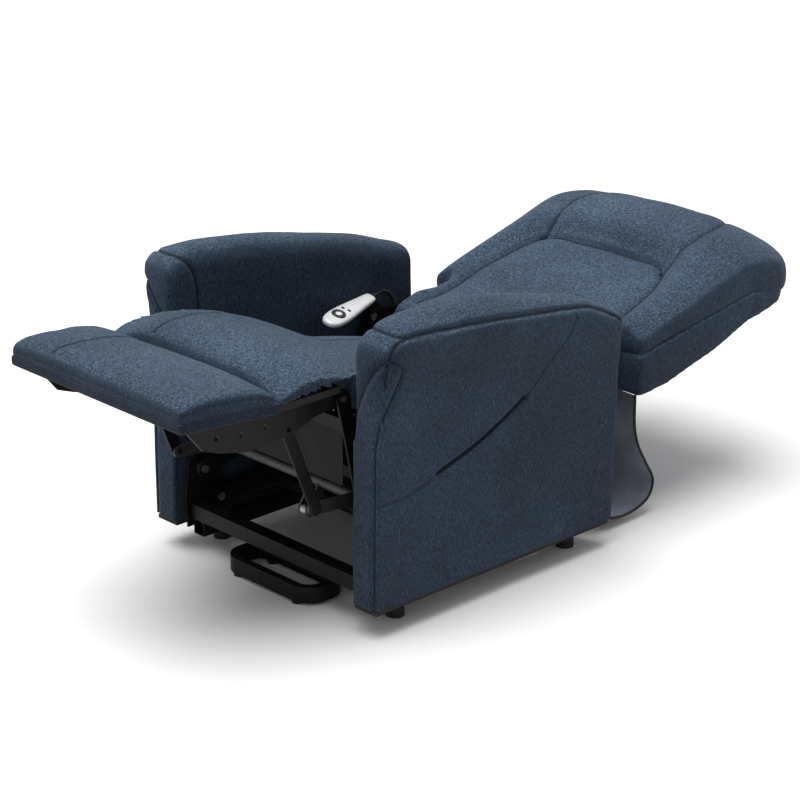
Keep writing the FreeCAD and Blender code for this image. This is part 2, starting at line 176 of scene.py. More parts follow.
def heatherFabric(name, shade=1.0):
    cloth = Finish(name, Sheen_Weight=0.06, Sheen_Roughness=0.5, Sheen_Tint=(0.62, 0.74, 0.9, 1),
                   Specular_IOR_Level=0.15)
    across, along, upright = [cloth.grain(1.0, 2.5, 0.65, cloth.stretched(heather[threads]))
                              for threads in ("acrossFleck", "alongFleck", "streak")]
    # the normal's height splits top-facing from side-facing cloth, and the sides get a darker tone: painted shade
    normal = cloth.add("NewGeometry", {}, {}, 1)
    facing = cloth.add("SeparateXYZ", {}, {0: normal}, 2)
    top = facing.size().between(0.35, 0.75)
    fleck = across.orMore(along) * top + (upright * 0.55 + heather["paintedSideShade"]) * (1 - top)
    drift = cloth.grain(5.0, 2.0) * 0.14 - 0.07
    stops = [(place, tuple(c * shade for c in colour)) for place, colour in heather["stops"]]
    colour = cloth.ramp(fleck + drift, stops)
    # the seam attribute carries painted crease shade, mixed towards the seam colour
    seam = cloth.add("Attribute", {"attribute_name": "seam"}, {}, 2)
    colour = cloth.mixed(seam, colour, heather["seamShadeColour"])
    weave = cloth.grain(1900, 1.0) * 0.5 + fleck
    return cloth.feed(Base_Color=colour, Roughness=0.98 - fleck * 0.22,
                      Normal=cloth.bump(weave, 0.55, 0.0011))


def blackSteel(name):
    steel = Finish(name, Specular_IOR_Level=0.16)
    orange = steel.grain(520, 2.0)
    worn = steel.grain(14, 4.0, 0.6)
    colour = steel.ramp(worn, [(0.35, (0.0022, 0.0022, 0.0025)), (0.62, (0.0040, 0.0040, 0.0044)),
                               (0.80, (0.010, 0.0098, 0.0094))])
    return steel.feed(Base_Color=colour, Roughness=0.34 + worn * 0.22,
                      Normal=steel.bump(orange, 0.12, 0.0004))


def brightSteel(name, shade, rough):
    steel = Finish(name, Metallic=1.0)
    brushed = steel.grain(1.0, 3.0, 0.6, steel.stretched((40, 900, 900)))
    stain = steel.grain(22, 3.0)
    colour = steel.mixed(stain.between(0.4, 0.8), (shade, shade, shade * 1.02, 1),
                         (shade * 0.7, shade * 0.68, shade * 0.66, 1))
    return steel.feed(Base_Color=colour, Roughness=rough + brushed * 0.18,
                      Normal=steel.bump(brushed, 0.1, 0.0003))


def greyLeather(name):
    hide = Finish(name, Specular_IOR_Level=0.45)
    cells = hide.add("TexVoronoi", {"feature": "DISTANCE_TO_EDGE"}, {"Vector": hide.place, "Scale": 420.0})
    pebbles = cells.between(0.0, 0.25)
    cloud = hide.grain(9, 3.0)
    colour = hide.ramp(cloud + pebbles * 0.12, [(0.35, (0.088, 0.100, 0.124)), (0.55, (0.155, 0.174, 0.208)),
                                                (0.80, (0.240, 0.264, 0.305))])
    return hide.feed(Base_Color=colour, Roughness=0.5 - pebbles * 0.12,
                     Normal=hide.bump(pebbles, 0.35, 0.0006))


def darkLining(name):
    lining = Finish(name)
    fibres = lining.grain(1.0, 3.0, 0.7, lining.stretched((500, 900, 500)))
    colour = lining.ramp(fibres, [(0.35, (0.0030, 0.0030, 0.0036)), (0.65, (0.0105, 0.0105, 0.0120))])
    return lining.feed(Base_Color=colour, Roughness=0.85 + fibres * 0.12,
                       Normal=lining.bump(fibres, 0.4, 0.0006))


def rubber(name, shade):
    gum = Finish(name, Specular_IOR_Level=0.3)
    dust = gum.grain(60, 4.0)
    colour = gum.ramp(dust, [(0.35, (shade, shade, shade)), (0.75, (shade * 2, shade * 2, shade * 1.9))])
    return gum.feed(Base_Color=colour, Roughness=0.55 + dust * 0.25,
                    Normal=gum.bump(gum.grain(700), 0.15, 0.0003))


def plastic(name, colour, rough, texture=900):
    shell = Finish(name, Specular_IOR_Level=0.5)
    spark = shell.grain(texture, 1.5)
    handled = shell.grain(35, 3.0)
    tone = shell.mixed(handled.between(0.35, 0.8), (*colour, 1), tuple(c * 0.88 for c in colour) + (1,))
    return shell.feed(Base_Color=tone, Roughness=rough + handled * 0.12,
                      Normal=shell.bump(spark, 0.08, 0.0002))


finishes = {
    "heather_fabric": heatherFabric("heatherFabric"),
    # the board under the foot pad wears the same cloth at 0.55 brightness: painted shade
    "shaded_board_fabric": heatherFabric("heatherFabricPaintedShade", 0.55),
    "black_steel": blackSteel("blackSteel"),
    "zinc_steel": brightSteel("zincSteel", 0.34, 0.30),
    "spring_steel": brightSteel("springSteel", 0.20, 0.36),
    "dull_steel": brightSteel("dullSteel", 0.085, 0.48),
    "grey_leather": greyLeather("greyLeather"),
    "lining": darkLining("darkLining"),
    "foot_rubber": rubber("footRubber", 0.005),
    "cord_rubber": rubber("cordRubber", 0.004),
    "white_plastic": plastic("handsetWhite", (0.47, 0.475, 0.48), 0.24),
    "button_plastic": plastic("buttonGrey", (0.012, 0.013, 0.016), 0.35),
    "motor_plastic": plastic("motorBlack", (0.006, 0.006, 0.007), 0.42, 500),
}


def finished(obj, finish):
    obj.data.materials.clear()
    obj.data.materials.append(finishes[finish])
    return obj


print("finishes made:", len(finishes))


def newObject(name, data):
    obj = bpy.data.objects.new(name, data)
    scene.collection.objects.link(obj)
    return obj


def newMesh(name, points, faces):
    mesh = bpy.data.meshes.new(name)
    mesh.from_pydata([tuple(p) for p in points], [], faces)
    shape = bmesh.new()
    shape.from_mesh(mesh)
    bmesh.ops.recalc_face_normals(shape, faces=shape.faces)
    shape.to_mesh(mesh)
    shape.free()
    return newObject(name, mesh)


def evaluatedMesh(obj):
    bpy.context.view_layer.update()
    return bpy.data.meshes.new_from_object(obj.evaluated_get(bpy.context.evaluated_depsgraph_get()))


def applyModifiers(obj):
    shaped, old = evaluatedMesh(obj), obj.data
    obj.modifiers.clear()
    obj.data = shaped
    bpy.data.meshes.remove(old)
    return obj


def rowsOf(items, field):
    # three numbers for each vertex
    rows = np.empty(len(items) * 3, np.float32)
    items.foreach_get(field, rows)
    return rows.reshape(-1, 3).astype(float)


def pointsOf(obj):
    return rowsOf(obj.data.vertices, "co")


def setPoints(obj, points):
    obj.data.vertices.foreach_set("co", points.astype(np.float32).ravel())
    obj.data.update()


def normalsOf(obj):
    return rowsOf(obj.data.vertex_normals, "vector")


def smoothShaded(obj, angle=None):
    obj.data.shade_smooth()
    if angle:
        obj.data.set_sharp_from_angle(angle=math.radians(angle))
    return obj


def loft(name, sections):
    # a closed skin over rings of the same number of points
    count, points, faces = len(sections[0]), [p for ring in sections for p in ring], []
    for i in range(len(sections) - 1):
        for j in range(count):
            k = (j + 1) % count
            faces.append((i * count + j, i * count + k, (i + 1) * count + k, (i + 1) * count + j))
    faces += [tuple(range(count)), tuple(range((len(sections) - 1) * count, len(sections) * count))]
    return newMesh(name, points, faces)


def copyOf(name, *cadNodes):
    # the CAD solids as one editable mesh
    joined = bmesh.new()
    for node in cadNodes:
        joined.from_mesh(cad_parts[node].data)
    bmesh.ops.remove_doubles(joined, verts=joined.verts, dist=0.0001)
    mesh = bpy.data.meshes.new(name)
    joined.to_mesh(mesh)
    joined.free()
    return newObject(name, mesh)


def voxelRemesh(obj, size):
    remesh = obj.modifiers.new("remesh", "REMESH")
    remesh.mode, remesh.voxel_size = "VOXEL", size
    return applyModifiers(obj)


def step(value, low, high):
    t = np.clip((value - low) / (high - low), 0, 1)
    return t * t * (3 - 2 * t)


def relax(obj, rounds, weight=1.0):
    # evens the skin out, so that its corners turn round
    points = pointsOf(obj)
    count = len(points)
    edges = np.empty(len(obj.data.edges) * 2, np.int32)
    obj.data.edges.foreach_get("vertices", edges)
    a, b = edges.reshape(-1, 2).T
    share = 0.5 * (np.ones(count) * weight)[:, None]
    neighbours = np.maximum(np.bincount(a, minlength=count) + np.bincount(b, minlength=count), 1)[:, None]
    for _ in range(rounds):
        total = np.stack([np.bincount(a, points[b, k], count) + np.bincount(b, points[a, k], count)
                          for k in range(3)], 1)
        points += share * (total / neighbours - points)
    setPoints(obj, points)


def inflate(obj, pressure, reach, rounds=3, weight=1.0):
    # blows the cover up against its own cloth; no point goes further than its reach
    start, frames = pointsOf(obj), 20
    cloth = obj.modifiers.new("stuffing", "CLOTH")
    cloth.settings.use_pressure = True
    cloth.settings.uniform_pressure_force = pressure
    cloth.settings.effector_weights.gravity = 0
    cloth.settings.quality = 4
    cloth.collision_settings.use_collision = False
    cloth.point_cache.frame_start, cloth.point_cache.frame_end = 1, frames
    for number in range(1, frames + 1):
        scene.frame_set(number)
    swollen = evaluatedMesh(obj)
    move = rowsOf(swollen.vertices, "co") - start
    length = np.linalg.norm(move, axis=1)
    allowed = np.minimum(1, (np.ones(len(start)) * reach) / np.maximum(length, 1e-6))
    obj.modifiers.clear()
    bpy.data.meshes.remove(swollen)
    setPoints(obj, start + move * allowed[:, None])
    scene.frame_set(1)
    relax(obj, rounds, weight)


def subdivided(obj):
    obj.modifiers.new("finer", "SUBSURF").levels = 1
    return applyModifiers(obj)


def distanceTo(points, line):
    # distance of each point from a line of points
    line = np.array([tuple(p) for p in line])
    nearest = np.full(len(points), 1e9)
    for a, b in zip(line[:-1], line[1:]):
        t = np.clip(((points - a) @ (b - a)) / max((b - a) @ (b - a), 1e-12), 0, 1)
        nearest = np.minimum(nearest, np.linalg.norm(points - a - t[:, None] * (b - a), axis=1))
    return nearest


def sew(obj, line, width=0.009, depth=0.003, creaseShade=0.8, creaseShadeWidth=0.0032):
    # pulls the skin in along a seam and paints crease shade along it into the seam attribute
    points, normals = pointsOf(obj), normalsOf(obj)
    away = distanceTo(points, line)
    pull = np.clip(1 - away / width, 0, 1) ** 1.6
    setPoints(obj, points - normals * (pull * depth)[:, None])
    seam = obj.data.attributes.get("seam") or obj.data.attributes.new("seam", "FLOAT", "POINT")
    shade = np.zeros(len(points), np.float32)
    seam.data.foreach_get("value", shade)
    paintedCreaseShade = creaseShade * (1 - step(away, creaseShadeWidth * 0.5, creaseShadeWidth * 1.4))
    seam.data.foreach_set("value", np.maximum(shade, paintedCreaseShade).astype(np.float32))


def ripple(obj, size, amount, seed):
    # slow unevenness of the stuffing
    dice = np.random.default_rng(seed)
    points, normals = pointsOf(obj), normalsOf(obj)
    total = np.zeros(len(points))
    for _ in range(7):
        direction = dice.normal(size=3)
        direction *= 2 * math.pi / (size * dice.uniform(0.7, 1.6)) / np.linalg.norm(direction)
        total += np.sin(points @ direction + dice.uniform(0, 6.28))
    setPoints(obj, points + normals * (total * amount / 3)[:, None])


def smoothLine(points, count=8):
    # a curve through the given points
    knots = [Vector(p) for p in points]
    knots = [knots[0] * 2 - knots[1], *knots, knots[-1] * 2 - knots[-2]]
    line = []
    for a, b, c, d in zip(knots, knots[1:], knots[2:], knots[3:]):
        for i in range(count):
            t = i / count
            line.append(0.5 * (2 * b + (c - a) * t + (2 * a - 5 * b + 4 * c - d) * t * t
                               + (3 * b - a - 3 * c + d) * t ** 3))
    return line + [knots[-2]]


def skinOf(obj):
    return BVHTree.FromPolygons([v.co for v in obj.data.vertices], [p.vertices for p in obj.data.polygons])


def layOn(obj, line, sink=0.0):
    # the line moved to the nearest place on the skin
    skin, laid = skinOf(obj), []
    for point in line:
        spot, normal, _, _ = skin.find_nearest(point)
        laid.append(spot - normal * sink)
    return laid


def newCurve(name, points, kind="POLY", **settings):
    curve = bpy.data.curves.new(name, "CURVE")
    curve.dimensions = "3D"
    for setting, value in settings.items():
        setattr(curve, setting, value)
    spline = curve.splines.new(kind)
    spline.points.add(len(points) - 1)
    for knot, point in zip(spline.points, points):
        knot.co = (*point, 1)
    return newObject(name, curve)


def newTube(name, line, radius, resolution=3):
    return newCurve(name, line, bevel_depth=radius, bevel_resolution=resolution, use_fill_caps=True)


def asMesh(name, curve):
    mesh = newObject(name, evaluatedMesh(curve))
    bpy.data.objects.remove(curve)
    return mesh


def mirrorX(obj, name):
    points = pointsOf(obj)
    twin = newObject(name, obj.data.copy())
    setPoints(twin, points * (-1, 1, 1))
    twin.data.flip_normals()
    return twin


# handset and its cord

handset = {"nose": at(-0.203, 0.363, 0.404), "end": at(-0.238, 0.524, 0.418), "lean": (0.34, 0, 1),
           "sections": [(0.0, 0.005, 0.0030), (0.0015, 0.009, 0.0050), (0.005, 0.0140, 0.0070),
                        (0.012, 0.0188, 0.0082), (0.025, 0.0222, 0.0088), (0.042, 0.0232, 0.0090),
                        (0.065, 0.0222, 0.0090), (0.090, 0.0196, 0.0088), (0.115, 0.0165, 0.0084),
                        (0.137, 0.0146, 0.0080), (0.150, 0.0134, 0.0074), (0.1575, 0.0124, 0.0064),
                        (0.159, 0.0108, 0.0050)],
           "roundness": 2.7,
           "ringCentre": (0.0, 0.040), "ringInner": 0.0074, "ringOuter": 0.0138, "keySpan": 43,
           "ringKeys": {"raise_button": 90, "recline_button": 180, "lower_button": 270, "upright_button": 0},
           "ovalKeys": {"heat_button": (-0.007, 0.064), "massage_button": (0.007, 0.067)}}
cordPiece = {"route": [(-0.2382, 0.5249, 0.4181), (-0.241, 0.541, 0.421), (-0.245, 0.559, 0.421),
                       (-0.2455, 0.577, 0.412), (-0.2455, 0.589, 0.396), (-0.2455, 0.592, 0.376),
                       (-0.246, 0.588, 0.357), (-0.249, 0.582, 0.340), (-0.257, 0.577, 0.324)],
             "thickness": 0.0031, "coil": 0.0029, "pitch": 0.0039, "straight": 0.034}

forward = (handset["end"] - handset["nose"]).normalized()
upward = Vector(handset["lean"])
upward = (upward - forward * upward.dot(forward)).normalized()
sideways = forward.cross(upward)
handsetAxes = Matrix.Translation(handset["nose"]) @ Matrix((sideways, forward, upward)).transposed().to_4x4()


def onHandset(across, reach, height):
    return handsetAxes @ Vector((across, reach, height))


def routeLine(points):
    curve = newCurve("cordRoute", points, "NURBS", resolution_u=24)
    curve.data.splines[0].order_u = 3
    curve.data.splines[0].use_endpoint_u = True
    line = [v.co.copy() for v in evaluatedMesh(curve).vertices]
    bpy.data.objects.remove(curve)
    return line


def curlyCord(settings):
    line = routeLine([at(*p) for p in settings["route"]])
    travel = np.cumsum([0.0] + [(b - a).length for a, b in zip(line, line[1:])])
    total, side, perTurn = travel[-1], Vector((1, 0, 0)), 14
    helix, turn, walked = [], 0.0, 0.0
    while walked < total - 0.002:
        i = min(int(np.searchsorted(travel, walked, side="right")) - 1, len(line) - 2)
        share = (walked - travel[i]) / (travel[i + 1] - travel[i])
        centre = line[i].lerp(line[i + 1], share)
        along = (line[i + 1] - line[i]).normalized()
        side = (side - along * side.dot(along)).normalized()
        coiled = step(walked, settings["straight"] * 0.7, settings["straight"] * 1.35)
        radius = settings["coil"] * float(coiled) * (1 - float(step(walked, total - 0.012, total - 0.002)))
        helix.append(centre + (side * math.cos(turn) + along.cross(side) * math.sin(turn)) * radius)
        turn += 2 * math.pi / perTurn
        walked += settings["pitch"] / perTurn
    cord = asMesh("handsetCord", newTube("cordTube", helix, settings["thickness"] / 2, 2))
    smoothShaded(finished(cord, "cord_rubber"))
    real = sum((b - a).length for a, b in zip(helix, helix[1:]))
    return cord, helix, real


cord, cordLine, cordLength = curlyCord(cordPiece)
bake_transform(cord)
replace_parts(cord, "handset_cord")
print("cord laid, length", round(cordLength, 3))


def handsetShell(settings):
    count, rings = 48, []
    power = 2 / settings["roundness"]
    for reach, width, height in settings["sections"]:
        ring = []
        for i in range(count):
            turn = 2 * math.pi * i / count
            c, s = math.cos(turn), math.sin(turn)
            ring.append(onHandset(math.copysign(abs(c) ** power, c) * width, reach,
                                  math.copysign(abs(s) ** power, s) * height))
        rings.append(ring)
    shell = loft("handsetShell", rings)
    shell.modifiers.new("finer", "SUBSURF").levels = 1
    applyModifiers(shell)
    finished(smoothShaded(shell, 60), "white_plastic")
    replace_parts(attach(shell, "seat"), "handset_shell")


def arcPlate(name, centre, inner, outer, start, finish, low, high, body, coat, squeeze=1.0):
    # a flat ring or part of one on the handset's face, with a softened top edge
    count = max(6, int(abs(finish - start) / 6))
    whole = finish - start >= 360
    inset = 0.0005 if inner > 0 else 0.0
    levels = [(inner, outer, low), (inner, outer, high - 0.0004), (inner + inset, outer - 0.0005, high)]
    points, faces = [], []
    for i in range(count + (0 if whole else 1)):
        turn = math.radians(start + (finish - start) * i / count)
        c, s = math.cos(turn), math.sin(turn)
        for near, far, z in levels:
            for radius in (near, far):
                points.append(onHandset(centre[0] + c * radius, centre[1] + s * radius * squeeze, z))
    ring = len(levels) * 2
    order = [0, 1, 3, 5, 4, 2]
    for i in range(count):
        here, there = i * ring, ((i + 1) % count if whole else i + 1) * ring
        for a, b in zip(order, order[1:] + order[:1]):
            faces.append((here + a, here + b, there + b, there + a))
    if not whole:
        faces += [tuple(order), tuple(count * ring + k for k in order)]
    plate = newMesh(name, points, faces)
    clean = bmesh.new()
    clean.from_mesh(plate.data)
    bmesh.ops.remove_doubles(clean, verts=clean.verts, dist=0.00002)
    bmesh.ops.recalc_face_normals(clean, faces=clean.faces)
    clean.to_mesh(plate.data)
    clean.free()
    finished(smoothShaded(plate, 35), coat)
    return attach(plate, body)


def handsetKeys(settings):
    centre, inner, outer = settings["ringCentre"], settings["ringInner"], settings["ringOuter"]
    arcPlate("handsetRing", centre, outer + 0.0003, outer + 0.0012, 0, 360, 0.0080, 0.0096, "seat",
             "button_plastic")
    arcPlate("handsetDisc", centre, 0.0, inner - 0.0012, 0, 360, 0.0080, 0.0097, "seat", "white_plastic")
    for node, heading in settings["ringKeys"].items():
        start, finish = heading - settings["keySpan"], heading + settings["keySpan"]
        key = arcPlate(node.replace("_b", "B"), centre, inner, outer, start, finish, 0.0085, 0.0105, node,
                       "button_plastic")
        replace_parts(key, node)
    for node, spot in settings["ovalKeys"].items():
        key = arcPlate(node.replace("_b", "B"), spot, 0.0, 0.0042, 0, 360, 0.0082, 0.0103, node,
                       "button_plastic", 0.62)
        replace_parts(key, node)


handsetShell(handset)
handsetKeys(handset)

relief = {"turned": [(-0.004, 0.0054), (0.0, 0.0054), (0.001, 0.0048), (0.004, 0.0044), (0.005, 0.0050),
                     (0.0065, 0.0044), (0.0075, 0.0040), (0.0085, 0.0046), (0.010, 0.0040), (0.012, 0.0034),
                     (0.016, 0.0026), (0.018, 0.0022)]}


def strainRelief(settings):
    rings = []
    for reach, radius in settings["turned"]:
        centre = handset["end"] + forward * reach
        rings.append([centre + sideways * (math.cos(t) * radius) + upward * (math.sin(t) * radius)
                      for t in np.linspace(0, 2 * math.pi, 20, endpoint=False)])
    sleeve = loft("cordSleeve", rings)
    finished(smoothShaded(sleeve, 50), "cord_rubber")
    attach(sleeve, "seat")
    return sleeve


sleeve = strainRelief(relief)
print("handset made")


# arms

arm = {"inner": 0.255, "bottom": 0.06, "ridge": 0.286, "corner": 0.035, "voxel": 0.0055, "rounds": 14,
       "swell": 0.004, "widest": 0.348, "narrows": {"from": 0.15, "by": 0.015, "over": 0.51}, "puff": 0.0015,
       "crown": [(0.0, 0.512), (0.005, 0.546), (0.015, 0.576), (0.034, 0.599), (0.062, 0.612), (0.10, 0.617),
                 (0.15, 0.618), (0.22, 0.615), (0.29, 0.607), (0.36, 0.595), (0.43, 0.580), (0.50, 0.5625),
                 (0.55, 0.548), (0.60, 0.526), (0.635, 0.505), (0.655, 0.489)],
       "between": [0.125, 0.185, 0.255, 0.33, 0.395, 0.465, 0.58],  # more sections, read off the crown
       "farSettle": [(0.0, -0.010), (0.04, -0.009), (0.07, -0.003), (0.13, 0.003), (0.18, 0.007), (0.28, 0.011),
                     (0.38, 0.014), (0.48, 0.014), (0.55, 0.014), (0.60, 0.010), (0.65, 0.000)],
       "scroll": {"height": 0.565, "spread": 0.030, "stands": 0.007, "low": 0.007},
       "outer": [(0.06, 0.319), (0.30, 0.320), (0.42, 0.325), (0.50, 0.335), (0.555, 0.3460), (0.58, 0.348),
                 (0.60, 0.346)],
       "topSeam": [(0.0, 0.500), (0.012, 0.560), (0.030, 0.585), (0.052, 0.592), (0.075, 0.592), (0.138, 0.587),
                   (0.246, 0.578), (0.382, 0.5625), (0.482, 0.552), (0.556, 0.540), (0.603, 0.523),
                   (0.655, 0.480)],
       "noseSeam": [(0.345, 0.052, 0.594), (0.336, 0.040, 0.604), (0.316, 0.030, 0.609), (0.292, 0.028, 0.607),
                    (0.270, 0.040, 0.596), (0.256, 0.062, 0.570), (0.254, 0.075, 0.520), (0.254, 0.080, 0.40)],
       "panel": [(0.2545, 0.010, 0.392), (0.2575, 0.010, 0.425), (0.2634, 0.010, 0.452), (0.2800, 0.007, 0.482),
                 (0.2980, 0.005, 0.510), (0.3187, 0.007, 0.537), (0.3334, 0.020, 0.549), (0.3370, 0.034, 0.548),
                 (0.3350, 0.050, 0.529), (0.3310, 0.046, 0.505), (0.3262, 0.029, 0.4695), (0.3227, 0.017, 0.4376),
                 (0.3170, 0.011, 0.4011), (0.3130, 0.008, 0.3621), (0.3120, 0.010, 0.245), (0.3120, 0.012, 0.064)],
       "slash": [(0.004, 0.271), (0.066, 0.271), (0.115, 0.280), (0.163, 0.294), (0.274, 0.329), (0.385, 0.387),
                 (0.434, 0.435), (0.484, 0.485), (0.509, 0.535)],
       "mouth": (3, 5)}  # the pocket's mouth runs between these points of the slash
armLiner = {"inner": 0.257, "outer": 0.314, "front": 0.012, "rear": 0.645, "low": 0.0525, "high": 0.0605}


def armBody(settings):
    crownY, crownZ = np.array(settings["crown"]).T
    seamY, seamZ = np.array(settings["topSeam"]).T
    outerZ, outerX = np.array(settings["outer"]).T
    inner, ridge, bottom, corner = [settings[name] for name in ("inner", "ridge", "bottom", "corner")]
    narrows, rings = settings["narrows"], []
    for y in sorted({*crownY.tolist(), *settings["between"]}):
        top, edge = float(np.interp(y, crownY, crownZ)), float(np.interp(y, seamY, seamZ))
        edge = min(edge, top - 0.008)
        limit = settings["widest"] - narrows["by"] * max(y - narrows["from"], 0) / narrows["over"]
        wall = [at(inner, y, z) for z in np.linspace(bottom, top - corner, 12)]
        inside = [at(ridge - (ridge - inner) * math.cos(t), y, top - corner + corner * math.sin(t))
                  for t in np.linspace(0, math.pi / 2, 7)[1:]]
        reach = min(float(np.interp(edge, outerZ, outerX)), limit)
        over = [at(ridge + (reach - ridge) * u, y, top - (top - edge) * u ** 2.2)
                for u in (0.2, 0.4, 0.6, 0.8, 0.92)]
        outside = [at(min(float(np.interp(z, outerZ, outerX)), limit), y, z)
                   for z in np.linspace(edge, bottom, 14)]
        rings.append(wall + inside + over + outside)
    body = loft("leftArm", rings)
    voxelRemesh(body, settings["voxel"])
    points = pointsOf(body)
    y, z = points[:, 1] - armFrontY, points[:, 2]
    crown = np.interp(y, crownY, crownZ)
    weight = 0.10 + 0.90 * step(z, crown - 0.13, crown - 0.035)
    weight = np.maximum(weight * (1 - 0.75 * step(y, 0.60, 0.65)), 0.10)
    relax(body, settings["rounds"], weight)
    inflate(body, 3.0, settings["swell"] * weight, 2, weight)
    points, scroll = pointsOf(body), settings["scroll"]
    stands = np.exp(-((points[:, 2] - scroll["height"]) / scroll["spread"]) ** 2) * scroll["stands"]
    stands -= (1 - step(points[:, 2], 0.46, 0.54)) * scroll["low"]
    points[:, 1] -= stands * (1 - step(points[:, 1] - armFrontY, 0.03, 0.11))
    setPoints(body, points)
    return subdivided(body)


def settleFarArm(body, settings):
    # the far arm's pad lies lower towards the back
    points = pointsOf(body)
    drop = np.interp(points[:, 1] - armFrontY, *np.array(settings["farSettle"]).T)
    points[:, 2] -= drop * step(points[:, 2], 0.40, 0.54)
    setPoints(body, points)


def armSeams(body, settings, pocket):
    outerZ, outerX = np.array(settings["outer"]).T
    side = 1 if pocket else -1
    top = layOn(body, smoothLine([at(side * 0.35, y, z) for y, z in settings["topSeam"]]))
    nose = layOn(body, smoothLine([at(side * x, y, z) for x, y, z in settings["noseSeam"]]))
    panel = layOn(body, smoothLine([at(side * x, y, z) for x, y, z in settings["panel"]]))
    slash = [at(side * float(np.interp(z, outerZ, outerX)), y, z) for y, z in settings["slash"]]
    slash = layOn(body, smoothLine(slash, 8))
    sew(body, top, width=0.012, depth=0.0045)
    sew(body, nose, width=0.011, depth=0.0045)
    sew(body, panel, width=0.012, depth=0.0055, creaseShade=0.9)
    sew(body, slash, width=0.007, depth=0.0016, creaseShade=0.55, creaseShadeWidth=0.0022)
    if pocket:
        # the pocket's mouth gets a deeper, fully dark line: painted shade in the opening
        first, last = settings["mouth"]
        sew(body, slash[first * 8:last * 8 + 1], width=0.010, depth=0.009, creaseShade=1.0, creaseShadeWidth=0.0042)
    corner = layOn(body, [at(side * 0.319, 0.658, z) for z in np.linspace(0.064, 0.48, 30)])
    sew(body, corner, width=0.007, depth=0.0012, creaseShade=0.3, creaseShadeWidth=0.002)
    return layOn(body, panel, 0.0009)


def panelPuff(body, settings, side):
    # the teardrop in the arm's front stands a little proud inside its welt
    line = [(x, z) for x, _, z in settings["panel"]]
    outline = np.array([(0.250, 0.064), (0.250, 0.380)] + line)
    points, normals = pointsOf(body), normalsOf(body)
    x, z = points[:, 0] * side, points[:, 2]
    inside = np.zeros(len(points), bool)
    for (x0, z0), (x1, z1) in zip(outline, np.roll(outline, -1, axis=0)):
        crosses = (z0 > z) != (z1 > z)
        inside ^= crosses & (x < (x1 - x0) * (z - z0) / ((z1 - z0) if z1 != z0 else 1e-9) + x0)
    front = inside & (normals[:, 1] < -0.3)
    edge = distanceTo(np.stack([x, z, z * 0], 1), [(a, b, 0) for a, b in line])
    lift = front * step(edge, 0.001, 0.016) * settings["puff"]
    setPoints(body, points + normals * lift[:, None])


def makeArms(settings):
    leftArm = armBody(settings)
    rightArm = mirrorX(leftArm, "rightArm")
    settleFarArm(rightArm, settings)
    for body, side, name in ((leftArm, 1, "left"), (rightArm, -1, "right")):
        panelPuff(body, settings, side)
        panelLine = armSeams(body, settings, side > 0)
        ripple(body, 0.24, 0.0009, 3 + side)
        smoothShaded(finished(body, "heather_fabric"))
        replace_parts(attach(body, "chair_body"), name + "_arm_cover", name + "_arm_pad",
                    name + "_arm_front_panel", name + "_arm_core")
        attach(finished(newTube(name + "ArmWelt", panelLine, 0.0016), "heather_fabric"), "chair_body")


def makeArmLiners(settings):
    for side, name in ((-1, "rightArmLiner"), (1, "leftArmLiner")):
        inner, outer = side * settings["inner"], side * settings["outer"]
        front, rear = settings["front"], settings["rear"]
        rings = [[at(inner, front, z), at(outer, front, z), at(outer, rear, z), at(inner, rear, z)]
                 for z in (settings["low"], settings["high"])]
        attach(finished(loft(name, rings), "lining"), "chair_body")


makeArms(arm)
makeArmLiners(armLiner)
print("arms made")


# foot pad and the board under it

footPad = {"half": 0.243, "voxel": 0.005, "rounds": 9, "reach": 0.004, "crown": 0.007, "seam": -0.130,
           "profile": [(-0.378, 0.505, 0.520), (-0.373, 0.5045, 0.531), (-0.352, 0.504, 0.5355),
                       (-0.30, 0.500, 0.5360), (-0.24, 0.4945, 0.531), (-0.19, 0.4900, 0.521),
                       (-0.162, 0.4875, 0.509), (-0.152, 0.4875, 0.499)],
           "sideSeam": [(-0.37, 0.5235), (-0.30, 0.5275), (-0.20, 0.515), (-0.15, 0.497)]}
footBoard = {"half": 0.241, "voxel": 0.004, "rounds": 2,
             "profile": [(-0.376, 0.4890, 0.510), (-0.30, 0.4830, 0.506), (-0.22, 0.4765, 0.499),
                         (-0.15, 0.4705, 0.492)]}


def paddedLoft(name, profile, halves, voxel):
    rings = [[at(-half, y, low), at(half, y, low), at(half, y, high), at(-half, y, high)]
             for (y, low, high), half in zip(profile, halves)]
    return voxelRemesh(loft(name, rings), voxel)


